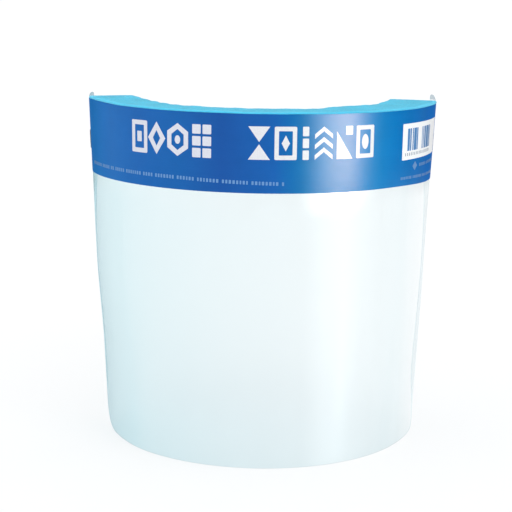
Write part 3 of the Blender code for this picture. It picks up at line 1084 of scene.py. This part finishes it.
left_strap = build_side(1, "strap_stapled_left")
right_strap = build_side(-1, "strap_stapled_right")
strap_loop = build_rear()
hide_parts("strap_end_left", "strap_side_left")
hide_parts("strap_end_right", "strap_side_right")
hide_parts("strap_rear")

# ------------------------------------------------------------------ staples
CROWN_OFF = SHEET_T / 2 + 0.00002 + WIRE_RADIUS
TIP_OFF = -(SHEET_T / 2 + 0.00006 + STRAP_T + 0.00002 + WIRE_RADIUS)


def half_staple(arc, sign):
    """Wire from the folded tip, through strap and sheet, to the outer crown."""
    def wire_at(rise, off):
        return place(arc, STRAP_Z + sign * rise, off, False)

    half = CROWN / 2
    quarter = [k / 6 * math.pi / 2 for k in range(7)]
    points = [wire_at(0.0007, TIP_OFF - 0.00005), wire_at(0.0030, TIP_OFF - 0.00018)]
    points += [wire_at(half - WIRE_BEND + WIRE_BEND * math.sin(angle),
                       TIP_OFF + WIRE_BEND * (1 - math.cos(angle))) for angle in quarter]
    points += [wire_at(half - WIRE_BEND * (1 - math.cos(angle)),
                       CROWN_OFF - WIRE_BEND * (1 - math.sin(angle))) for angle in quarter]
    return points


def build_staple(arc, place_name):
    path = half_staple(arc, -1) + half_staple(arc, 1)[::-1]
    bm = bmesh.new()
    bm.from_mesh(curve_mesh([path], False, dimensions="3D", bevel_depth=WIRE_RADIUS,
                            bevel_resolution=4, use_fill_caps=True))
    bmesh.ops.remove_doubles(bm, verts=bm.verts[:], dist=1e-6)
    wire = new_object("wire_" + place_name, bm, [STEEL])
    ride_visor(wire, "staple_steel", "staple_" + place_name)


for side, label in ((1, "left"), (-1, "right")):
    for arc, where in zip(STAPLE_ARCS, ("front", "rear")):
        build_staple(side * arc, label + "_" + where)

bpy.data.objects.remove(cutter)


# ------------------------------------------------------------------ floor
def floor_material():
    """Pale, faintly glowing, and clear when seen from below."""
    tree = material_nodes("floor_pale")
    cloud = tree.noise(tree.coords(), scale=14.0)
    top = tree.add("BsdfPrincipled", {
        "Base Color": tree.mix(cloud, (0.547, 0.550, 0.552), 0.556),
        "Roughness": 0.9,
        "Specular IOR Level": 0.0,
        "Emission Color": (0.998, 0.999, 1.0),
        "Emission Strength": 0.42})
    below = tree.add("NewGeometry").outputs["Backfacing"]
    return tree.finish(tree.mix_shader(below, top, tree.add("BsdfTransparent")))


floor_z = float(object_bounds()[0][2])
bm = bmesh.new()
bmesh.ops.create_grid(bm, x_segments=1, y_segments=1, size=60.0)
for vert in bm.verts:
    vert.co.z = floor_z - 0.0002
floor = new_object("floor", bm, [floor_material()], False)
floor.visible_glossy = False

# ------------------------------------------------------------------ camera
YAW, TILT, ROLL = math.radians(4.03), math.radians(11.57), math.radians(1.0)
CAMERA_SPOT = (-0.00587, -0.7928, 0.07525)    # before the yaw
PIVOT_Y = 0.060                               # the yaw turns about this place
LENS, SENSOR = 92.96015625, 36.0              # millimetres


def unyaw(vector, pivot=0.0):
    """From the camera-aligned frame back to the part's frame."""
    x, y, z = vector
    y -= pivot
    cosine, sine = math.cos(YAW), math.sin(YAW)
    return Vector((x * cosine + y * sine, -x * sine + y * cosine + pivot, z))


camera_at = unyaw(CAMERA_SPOT, PIVOT_Y) - ORIGIN
forward = unyaw((0, math.cos(TILT), -math.sin(TILT)))
level_up = unyaw((0, math.sin(TILT), math.cos(TILT)))
level_right = unyaw((1, 0, 0))
right = level_right * math.cos(ROLL) + level_up * math.sin(ROLL)
up = level_up * math.cos(ROLL) - level_right * math.sin(ROLL)
camera_data = bpy.data.cameras.new("camera")
camera_data.sensor_fit = "HORIZONTAL"
camera_data.sensor_width = SENSOR
camera_data.lens = LENS
camera_data.clip_start = 0.01
camera_data.clip_end = 200.0
camera = bpy.data.objects.new("camera", camera_data)
camera.matrix_world = (Matrix.Translation(camera_at)
                       @ Matrix((right, up, -forward)).transposed().to_4x4())
scene.collection.objects.link(camera)
scene.camera = camera


# ------------------------------------------------------------------ world
def mirror_view(arc, z):
    """Where the header's coat mirrors the camera's line of sight to, and the
    cosine of the angle it is seen at."""
    normal = sheet_normal(arc / (TOP_RADIUS + TAPER * z))
    sight = (place(arc, z, FILM_OFF, False) - camera_at).normalized()
    cosine = -sight.dot(normal)
    return sight + 2 * cosine * normal, cosine


def azimuth(direction):
    """0..1 round the horizon, 0.5 being the front (-Y)."""
    return math.atan2(direction.x, -direction.y) / (2 * math.pi) + 0.5


def coat_share(cosine):
    """Share of light the coat mirrors."""
    return 0.04 + 0.96 * (1.0 - cosine) ** 5


# Studio seen in reflections: dim in front, a tall soft box on the +X side of the
# camera.  Each entry: arc position on the header whose mirror image it fills, and
# the extra brightness it gives there.
GLOW = (
    (-0.146, 0.022), (-0.120, 0.020), (-0.090, 0.014), (-0.060, 0.010), (-0.030, 0.009),
    (0.000, 0.006), (0.010, 0.004), (0.016, 0.015), (0.021, 0.065), (0.027, 0.17),
    (0.033, 0.29), (0.040, 0.37), (0.048, 0.37), (0.054, 0.24), (0.060, 0.105),
    (0.066, 0.035), (0.073, 0.007), (0.085, 0.001), (0.105, 0.003), (0.120, 0.006),
    (0.138, 0.005))
# the soft box is a little warmer than the rest: r, g, b factors by arc position
WARM = {0.033: (1.06, 0.98, 0.90), 0.040: (1.20, 0.98, 0.82), 0.048: (1.28, 1.00, 0.82),
        0.054: (1.26, 1.02, 0.94), 0.060: (1.12, 1.08, 1.00)}
NEUTRAL = (1.0, 1.0, 1.0)
# the same for the clear sheet below the header: arc position, then radiance r, g, b
UNDER = (
    (-0.160, 0.40, 0.50, 0.55), (-0.120, 0.12, 0.22, 0.28), (-0.060, 0.12, 0.22, 0.28),
    (0.000, 0.30, 0.36, 0.40), (0.020, 0.45, 0.48, 0.50), (0.032, 1.30, 1.30, 1.30),
    (0.045, 1.90, 1.90, 1.90), (0.058, 1.10, 1.10, 1.10), (0.072, 0.70, 0.70, 0.70),
    (0.090, 0.75, 0.75, 0.75), (0.110, 0.85, 0.85, 0.85), (0.130, 0.95, 0.95, 0.95),
    (0.160, 1.00, 1.00, 1.00))
# arc positions at which the height where one table gives way to the other is taken
BAND_ARCS = (-0.150, -0.125, -0.100, -0.070, -0.035, 0.0, 0.035, 0.070, 0.100, 0.125, 0.150)
UPPER_SCALE, LOWER_SCALE = 12.0, 3.0    # the ramps hold radiance divided by these
SKY_BASE, SKY_RISE = 0.20, 1.35         # plain sky at the horizon, and its gain overhead
SKY_TINT = (0.985, 0.993, 1.0)


def upper_stops():
    stops = []
    for arc, extra in GLOW:
        direction, cosine = mirror_view(arc, -0.024)
        stops.append((azimuth(direction), extra / coat_share(cosine), WARM.get(arc, NEUTRAL)))
    stops = [(0.0, 0.55, NEUTRAL), (stops[0][0] - 0.075, 0.30, NEUTRAL), *stops,
             (stops[-1][0] + 0.060, 0.80, NEUTRAL), (1.0, 0.80, NEUTRAL)]
    return [(spot, tuple(level * value / UPPER_SCALE for value in tint))
            for spot, level, tint in stops]


def lower_stops():
    stops = [(azimuth(mirror_view(arc, -0.130)[0]), tuple(value / LOWER_SCALE for value in light))
             for arc, *light in UNDER]
    return [(0.0, (0.2, 0.22, 0.24)), *stops, (1.0, 0.4)]


def band_stops():
    """Heights, mapped to 0..1, of the band's upper end (red) and lower end (green)."""
    stops = []
    for arc in BAND_ARCS:
        high, low = mirror_view(arc, -0.0512)[0], mirror_view(arc, -0.0580)[0]
        stops.append((azimuth(high), ((high.z + 1) / 2, (low.z + 1) / 2, 0.0)))
    return stops


def build_world():
    world = bpy.data.worlds.new("studio")
    scene.world = world
    tree = Nodes(world)
    x, y, z = tree.split(tree.add("TexCoord").outputs["Generated"])
    around = tree.math("ARCTAN2", x, tree.times(y, -1.0))
    around = tree.times_plus(around, factor=1.0 / (2 * math.pi), offset=0.5)
    upper = tree.vector("SCALE", {0: tree.ramp(around, *upper_stops()), "Scale": UPPER_SCALE})
    lower = tree.vector("SCALE", {0: tree.ramp(around, *lower_stops()), "Scale": LOWER_SCALE})
    # the soft box ends just under the header's mirror image
    band = tree.add("SeparateColor", {0: tree.ramp(around, *band_stops())}).outputs
    fade = tree.add("MapRange", {
        "Value": tree.times_plus(z, factor=0.5, offset=0.5),
        "From Min": band[1],
        "From Max": band[0],
        "To Min": 0.0,
        "To Max": 1.0}, clamp=True)
    glow = tree.mix(fade, lower, upper)
    overhead = tree.math("POWER", tree.math("MAXIMUM", z, 0.0), 2.0)
    sky = tree.times_plus(overhead, SKY_RISE, SKY_BASE)
    plain = tree.add("CombineColor", {i: tree.times(sky, SKY_TINT[i]) for i in range(3)})
    rays = tree.add("LightPath").outputs
    seen = tree.mix(rays["Is Glossy Ray"], plain, glow)
    backdrop = 1.02
    colour = tree.mix(rays["Is Camera Ray"], seen, backdrop)
    tree.finish(tree.add("Background", {"Color": colour, "Strength": 1.0}), "OutputWorld")


build_world()


# ------------------------------------------------------------------ lights
def sun(name, turn, elevation, level, angle):
    """Soft sun; turn is degrees from the front (-Y) towards +X.  level is the
    share of white it gives a surface that faces it."""
    data = bpy.data.lights.new(name, "SUN")
    data.energy = level * math.pi
    data.angle = math.radians(angle)
    ob = bpy.data.objects.new(name, data)
    turn, elevation = math.radians(turn), math.radians(elevation)
    direction = Vector((math.sin(turn) * math.cos(elevation),
                        -math.cos(turn) * math.cos(elevation), math.sin(elevation)))
    ob.rotation_euler = direction.to_track_quat("Z", "Y").to_euler()
    scene.collection.objects.link(ob)
    ob.visible_glossy = False


sun("key", turn=32, elevation=38, level=0.24, angle=50)
sun("fill", turn=-70, elevation=30, level=0.16, angle=60)
